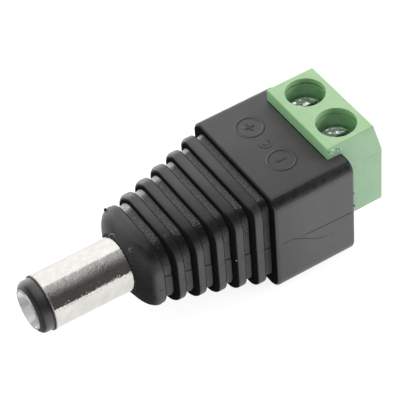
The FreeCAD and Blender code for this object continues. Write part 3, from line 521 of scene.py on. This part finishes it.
def green_housing():
    """Light green moulding, satin outside, greyer and glossier in the wells."""
    mat, g, shader, pos, nrm = material("green_housing")
    x, y, z = g.split(pos)
    nx, ny, nz = g.split(nrm)
    cloud = g.noise(pos, 0.5 * GRAIN, 3.0, 0.55)
    middle = g.noise(pos, 1.3 * GRAIN, 3.0, 0.6)
    color = g.mix(g.ramp(cloud, 0.35, 0.65), (0.372, 0.610, 0.322), (0.404, 0.648, 0.352))
    # the sides are milkier than the top and painted darker, as painted shade, with faint scuffs
    side = g.ramp(g.math("ABSOLUTE", ny), 0.5, 0.9)
    outer = g.math("GREATER_THAN", g.math("ABSOLUTE", y), 4.90 * MM)
    milky_shaded_side = g.both(side, outer)
    milky_shade_color = g.mix(g.ramp(middle, 0.38, 0.62), (0.274, 0.430, 0.292), (0.302, 0.458, 0.322))
    color = g.mix(g.mul(milky_shaded_side, 0.75), color, milky_shade_color)
    # painted shade: the narrow front face is a darker, deeper green
    color = g.mix(g.ramp(nx, -0.60, -0.95, 0.0, 0.75), color, (0.262, 0.560, 0.262))
    # the wells' walls and the inside of the chambers
    rx = g.sub(x, 22.56 * MM)
    ry = g.sub(g.math("ABSOLUTE", y), 2.50 * MM)
    radius = g.math("SQRT", g.add(g.mul(rx, rx), g.mul(ry, ry)))
    well = g.both(g.math("LESS_THAN", radius, 1.965 * MM), g.math("LESS_THAN", g.math("ABSOLUTE", nz), 0.6))
    # painted shade: the wells' walls darken with depth
    depth = g.ramp(z, 6.6 * MM, 4.6 * MM)
    inside = g.mix(depth, (0.370, 0.610, 0.345), (0.300, 0.480, 0.305))
    inside = g.mix(g.ramp(middle, 0.36, 0.64), inside, g.mix(depth, (0.400, 0.630, 0.380), (0.350, 0.520, 0.360)))
    # painted light: the wall turned towards the light is lighter and greener
    lit_wall = g.ramp(g.add(g.mul(nx, -0.877), g.mul(ny, 0.480)), 0.10, 0.85)
    inside = g.mix(g.mul(lit_wall, 0.75), inside, (0.300, 0.590, 0.230))
    patch = g.both(g.ramp(z, 6.05 * MM, 6.25 * MM), g.ramp(middle, 0.46, 0.60))
    inside = g.mix(g.mul(patch, 0.35), inside, (0.520, 0.760, 0.520))
    color = g.mix(well, color, inside)
    # line under the wells' mouth, where the core's two diameters meet: painted shade along the step
    level = g.add(z, g.mul(g.sub(cloud, 0.5), 0.25 * MM))
    line = g.both(g.ramp(level, 6.30 * MM, 6.34 * MM), g.ramp(level, 6.43 * MM, 6.39 * MM))
    line = g.both(line, g.math("LESS_THAN", radius, 1.965 * MM))
    color = g.mix(g.mul(line, 0.75), color, (0.06, 0.13, 0.06))
    g.put(shader.inputs["Base Color"], color)
    g.put(shader.inputs["Roughness"], g.blend(well, g.ramp(g.noise(pos, 1.2 * GRAIN, 3.0, 0.6), 0.3, 0.7, 0.36, 0.46), 0.26))
    shader.inputs["Specular IOR Level"].default_value = 0.45
    shader.inputs["Subsurface Weight"].default_value = 0.12
    shader.inputs["Subsurface Radius"].default_value = (0.4, 1.0, 0.35)
    shader.inputs["Subsurface Scale"].default_value = 0.0004
    fine = g.mul(g.noise(pos, 6.0 * GRAIN, 2.0, 0.5), 0.0022)
    slow = g.mul(g.noise(pos, 0.5 * GRAIN, 2.0, 0.5), 0.016)
    rings = g.mul(g.noise(g.stretch(pos, (0.5, 0.5, 3.0)), 1.6 * GRAIN, 2.0, 0.5), g.mul(well, 0.02))
    bump(g, shader, g.add(g.add(fine, slow), rings), MM)
    return mat


def screw_steel():
    """Bright zinc on a pressed head: small facets, the far half painted lighter as painted light, the slot painted
    dark as painted shade, turned shank.
    """
    mat, g, shader, pos, nrm = material("screw_steel")
    shader.inputs["Metallic"].default_value = 0.8
    patch = g.cells(pos, 1.6 * GRAIN)
    small = g.cells(pos, 6.0 * GRAIN)
    cloud = g.noise(pos, 1.4 * GRAIN, 3.0, 0.6)
    dull = g.ramp(g.add(g.mul(cloud, 0.6), g.mul(g.split(patch.outputs["Color"])[0], 0.4)), 0.40, 0.62)
    x, y, z = g.split(pos)
    # painted light: the far half of the head is lighter, for the glints it catches
    far_half_light = g.add(g.mul(g.sub(x, 22.56 * MM), 0.48), g.mul(g.sub(y, g.mul(g.math("SIGN", y), 2.50 * MM)), 0.88))
    far_half_light = g.ramp(g.add(far_half_light, g.mul(g.sub(cloud, 0.5), 0.9 * MM)), -0.7 * MM, 0.7 * MM)
    zinc = g.mix(far_half_light, (0.50, 0.56, 0.55), (0.97, 0.98, 0.99))
    color = g.mix(dull, zinc, g.mix(far_half_light, (0.40, 0.46, 0.45), (0.80, 0.83, 0.84)))
    # painted shade: the slot is painted dull and dark
    slot = g.both(g.ramp(z, 4.84 * MM, 4.70 * MM), g.math("GREATER_THAN", z, 4.0 * MM))
    r = g.sub(y, g.mul(g.math("SIGN", y), 2.50 * MM))
    reach = g.math("SQRT", g.add(g.mul(g.sub(x, 22.56 * MM), g.sub(x, 22.56 * MM)), g.mul(r, r)))
    slot = g.both(slot, g.ramp(reach, 1.50 * MM, 1.40 * MM))
    g.put(shader.inputs["Base Color"], g.mix(g.mul(slot, 0.85), color, (0.200, 0.235, 0.220)))
    g.put(shader.inputs["Roughness"], g.ramp(cloud, 0.3, 0.7, 0.14, 0.28))
    height = g.add(g.mul(patch.outputs["Distance"], 0.120), g.mul(small.outputs["Distance"], -0.018))
    height = g.add(height, g.mul(cloud, 0.08))
    bump(g, shader, height, MM)
    return mat


def solder_metal():
    mat, g, shader, pos, nrm = material("solder")
    shader.inputs["Metallic"].default_value = 1.0
    n = g.noise(pos, 2.0 * GRAIN, 4.0, 0.6)
    g.put(shader.inputs["Base Color"], g.mix(n, (0.42, 0.43, 0.44), (0.62, 0.63, 0.64)))
    g.put(shader.inputs["Roughness"], g.ramp(n, 0.3, 0.7, 0.28, 0.45))
    bump(g, shader, n, 0.02 * MM)
    return mat


M = {
    "black_moulding": black_moulding(),
    "black_bush": black_bush(),
    "green_housing": green_housing(),
    "nickel_plate": metal("nickel_plate", (0.700, 0.682, 0.650), (0.625, 0.607, 0.578), 0.05, 0.10, (0.7, 1, 1), 2.0, 0.012, 0.002, 0.009, 1.0, "sleeve"),
    "contact_plating": metal("contact_plating", (0.96, 0.965, 0.96), (0.86, 0.865, 0.86), 0.26, 0.38, (0.5, 1, 1), 2.8, 0.010, 0.03, 0.010, 0.20, "funnel"),
    "tinned_brass": metal("tinned_brass", (0.86, 0.85, 0.82), (0.70, 0.69, 0.66), 0.22, 0.36, (0.3, 1, 1), 2.2, 0.006),
    "cage_steel": metal("cage_steel", (0.80, 0.80, 0.79), (0.62, 0.62, 0.61), 0.25, 0.40, (1, 1, 0.3), 2.0, 0.010),
    "screw_steel": screw_steel(),
    "solder": solder_metal(),
}
SLOT = {item["node"]: item["material_slot"] for item in frame["record"]["subparts"]}
for name, obj in nodes.items():
    obj.data.materials.clear()
    obj.data.materials.append(M[SLOT[name]])


# ------------------------------------------------------------ moulded details
def plain(name, low, high, rough, scale=2.0, spec=0.5):
    mat, g, shader, pos, nrm = material(name)
    n = g.noise(pos, scale * GRAIN, 3.0, 0.6)
    g.put(shader.inputs["Base Color"], g.mix(g.ramp(n, 0.35, 0.65), low, high))
    g.put(shader.inputs["Roughness"], g.ramp(n, 0.3, 0.7, rough, rough + 0.14))
    shader.inputs["Specular IOR Level"].default_value = spec
    bump(g, shader, g.mul(n, 0.012), MM)
    return mat


# painted shade: near-black lines for the shade along fins and joints
SHADE_LINE = plain("parting_black", (0.003, 0.003, 0.003), (0.008, 0.008, 0.008), 0.60, 3.0, 0.2)
FLASH = plain("flash_black", (0.014, 0.014, 0.0145), (0.030, 0.030, 0.0305), 0.38, 3.0)
GREY_FLASH = plain("flash_grey", (0.110, 0.110, 0.109), (0.190, 0.190, 0.187), 0.34, 3.0)
DULL_FLASH = plain("flash_dull", (0.045, 0.045, 0.045), (0.085, 0.085, 0.083), 0.34, 3.0)
# painted shade: dark green for shade on the burrs and along the core line
GREEN_SHADE = plain("parting_green", (0.150, 0.265, 0.140), (0.210, 0.350, 0.200), 0.50, 2.0, 0.3)
WHITE_SPECK = plain("speck_white", (0.70, 0.70, 0.68), (0.80, 0.80, 0.78), 0.40, 4.0)
GREEN_FLASH = plain("flash_green", (0.420, 0.700, 0.400), (0.560, 0.800, 0.540), 0.30, 3.0)


def add_mesh(name, verts, faces, mat, smooth=True):
    mesh = bpy.data.meshes.new(name)
    mesh.from_pydata(verts, [], faces)
    bm = bmesh.new()
    bm.from_mesh(mesh)
    bmesh.ops.recalc_face_normals(bm, faces=bm.faces)
    bm.to_mesh(mesh)
    bm.free()
    for poly in mesh.polygons:
        poly.use_smooth = smooth
    obj = bpy.data.objects.new(name, mesh)
    scene.collection.objects.link(obj)
    mesh.materials.append(mat)
    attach(obj, "plug")
    return obj


def bead(name, points, normals, half, height, mat, jitter=0.0, seed=1, sink=0.03):
    """Thin raised line along the points: a closed, tapered strip with a low crown.

    points in millimetres; normals: one outward vector, or one for each point.
    """
    rnd = random.Random(seed)
    path = [Vector(p) for p in points]
    if isinstance(normals, Vector):
        normals = [normals] * len(path)
    # even steps, so that the line can wander a little
    fine_path, fine_normals = [], []
    for (a, na), (b, nb) in zip(zip(path, normals), zip(path[1:], normals[1:])):
        steps = max(1, round((b - a).length / 0.22))
        for k in range(steps):
            t = k / steps
            fine_path.append(a.lerp(b, t))
            fine_normals.append(na.lerp(nb, t).normalized())
    fine_path.append(path[-1])
    fine_normals.append(normals[-1].normalized())
    shape = [(-1.0, -sink), (-0.62, height * 0.72), (0.0, height), (0.62, height * 0.72), (1.0, -sink)]
    verts, faces = [], []
    count = len(fine_path)
    for k, (p, n) in enumerate(zip(fine_path, fine_normals)):
        a, b = fine_path[max(k - 1, 0)], fine_path[min(k + 1, count - 1)]
        side = n.cross((b - a).normalized()).normalized()
        taper = min(1.0, 0.35 + 0.65 * min(k, count - 1 - k) / 2.0)
        w = half * taper * (1 + rnd.uniform(-0.3, 0.3) * (jitter > 0))
        shift = rnd.uniform(-jitter, jitter)
        for u, h in shape:
            lift = h * (taper if h > 0 else 1.0)
            verts.append((p + side * (u * w + shift) + n * lift) * MM)
    for k in range(count - 1):
        for j in range(5):
            j2 = (j + 1) % 5
            faces.append((k * 5 + j, k * 5 + j2, (k + 1) * 5 + j2, (k + 1) * 5 + j))
    faces.append(tuple(range(5)))
    faces.append(tuple(range((count - 1) * 5, count * 5)))
    return add_mesh(name, verts, faces, mat)


def crumb(name, centre, size, mat, seed, detail=2, rough=0.25, turn=(0, 0, 0)):
    """Small torn lump of flash: an uneven closed body."""
    rnd = random.Random(seed)
    bm = bmesh.new()
    bmesh.ops.create_icosphere(bm, subdivisions=detail, radius=1.0)
    knots = [(Vector((rnd.uniform(-1, 1), rnd.uniform(-1, 1), rnd.uniform(-1, 1))).normalized(), rnd.uniform(-rough, rough))
             for _ in range(14)]
    spin = Matrix.Rotation(turn[2], 3, "Z") @ Matrix.Rotation(turn[1], 3, "Y") @ Matrix.Rotation(turn[0], 3, "X")
    for v in bm.verts:
        d = v.co.normalized()
        k = 1.0 + sum(amount * max(0.0, d.dot(way)) ** 3 for way, amount in knots)
        q = Vector((d.x * size[0] * k, d.y * size[1] * k, d.z * size[2] * k))
        v.co = (Vector(centre) + spin @ q) * MM
    mesh = bpy.data.meshes.new(name)
    bm.to_mesh(mesh)
    bm.free()
    for poly in mesh.polygons:
        poly.use_smooth = True
    obj = bpy.data.objects.new(name, mesh)
    scene.collection.objects.link(obj)
    mesh.materials.append(mat)
    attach(obj, "plug")
    return obj


# mould parting line along both sides of the block and across each rib, its near-black colour painted shade along the
# fin
TICKS = [(1.25, 1.98, -0.39), (3.30, 4.02, -0.07), (5.22, 5.98, -0.01), (7.14, 7.94, -0.15), (9.06, 9.90, -0.16), (10.98, 11.86, -0.24)]
for word, sign in (("near", -1), ("far", 1)):
    out = Vector((0, sign, 0))
    bead("parting_%s" % word, [(15.34 if sign < 0 else 13.2, sign * 6.90, -0.16), (17.5, sign * 6.90, -0.27), (19.5, sign * 6.90, -0.36),
         (21.30, sign * 6.90, -0.46)], out, 0.045, 0.012, SHADE_LINE, 0.006, 3)
    for i, (x0, x1, z0) in enumerate(TICKS):
        w = 4.75 + 0.29 * i
        bead("parting_%s_rib_%d" % (word, i + 1), [(x0 + 0.15, sign * w, z0 - 0.03), (x1, sign * w, z0 + 0.10)], out, 0.040, 0.012, SHADE_LINE,
             0.006, 10 + i)
# small flash nubs at the block's rear edge and on the nose
crumb("flash_rear_upper", (21.42, -6.83, 1.89), (0.06, 0.07, 0.10), FLASH, 5)
crumb("flash_rear_lower", (21.43, -6.83, 0.20), (0.07, 0.08, 0.16), FLASH, 6)
crumb("flash_rear_far", (21.43, 6.83, -0.40), (0.07, 0.08, 0.15), FLASH, 7)


def seen(name, px, py):
    """Point and outward normal (millimetres) where a sight line of the photograph meets a piece."""
    obj = nodes[name]
    mesh = obj.data
    tree = TREES.get(name)
    if tree is None:
        place_ = obj.matrix_world
        tree = TREES[name] = BVHTree.FromPolygons([place_ @ v.co for v in mesh.vertices], [tuple(p.vertices) for p in mesh.polygons])
    way = (turn.to_3x3() @ Vector(((px - 200) / FOCAL, -(py - 200) / FOCAL, -1.0))).normalized()
    point, normal, _, _ = tree.ray_cast(camera.matrix_world.translation, way)
    if normal.dot(way) > 0:
        normal = -normal
    return point / MM, normal


TREES = {}
BODY = "overmould_body"
# torn nub, a crescent mark, a blob and a speck on the nose and the ribs
seen(BODY, 130, 225)
spot = TREES[BODY].find_nearest(Vector((1.00, 4.00, 3.15)) * MM)[0] / MM
crumb("nub_nose", spot + Vector((0, 0.05, 0.05)), (0.13, 0.14, 0.18), FLASH, 21, rough=0.3)
marks = [seen(BODY, px, py) for px, py in ((108.3, 236.2), (110.2, 234.3), (112.4, 233.8), (114.6, 235.0), (115.9, 237.6))]
bead("crescent_nose", [p for p, n in marks], [n for p, n in marks], 0.06, 0.035, GREY_FLASH, 0.004, 22)
spot, out = seen(BODY, 130.5, 250.0)
crumb("blob_nose", spot - out * 0.10, (0.30, 0.28, 0.30), DULL_FLASH, 23, 3, 0.12)
spot, out = seen(BODY, 236.3, 260.6)
crumb("speck_rib", spot - out * 0.01, (0.10, 0.05, 0.05), WHITE_SPECK, 24, turn=(0.2, 0.6, 0.3))
# dust specks round the raised plus
for i, (px, py, size) in enumerate(((245.8, 122.1, 0.095), (242.1, 127.9, 0.090), (272.9, 128.3, 0.080), (252.5, 118.3, 0.070), (266.0, 137.0, 0.070))):
    spot, out = seen(BODY, px, py)
    crumb("speck_top_%d" % (i + 1), spot, (size * 1.2, size, 0.030), GREY_FLASH, 50 + i, 1)
# uneven bead of flash where the block meets the green housing, its near-black colour painted shade at the joint
bead("flash_joint", [(19.80, 4.90, 5.62), (19.82, 1.6, 5.62), (19.79, -1.2, 5.62), (19.81, -4.86, 5.62)], Vector((0, 0, 1)), 0.075, 0.030,
     SHADE_LINE, 0.018, 25)
# burrs and a core line on the green housing's near side; the dark green burrs and the core line are painted shade
rnd = random.Random(77)
for i in range(16):
    bx = 20.05 + 1.15 * (i / 15) + rnd.uniform(-0.12, 0.12)
    bz = 6.62 - 0.62 * (i / 15) + rnd.uniform(-0.42, 0.30)
    size = rnd.uniform(0.04, 0.11)
    crumb("burr_green_%d" % (i + 1), (bx, -4.98, max(5.80, min(6.78, bz))), (size * rnd.uniform(0.9, 2.2), 0.022 + size * 0.25, size),
          (GREEN_FLASH, GREEN_SHADE, GREEN_FLASH)[i % 3], 30 + i, rough=0.6, turn=(0, rnd.uniform(-1.2, 1.2), 0))
bead("core_line_near", [(23.7, -4.98, 3.12), (24.7, -4.98, 3.16), (25.88, -4.98, 3.18)], Vector((0, -1, 0)), 0.026, 0.006, GREEN_SHADE, 0.003, 40)
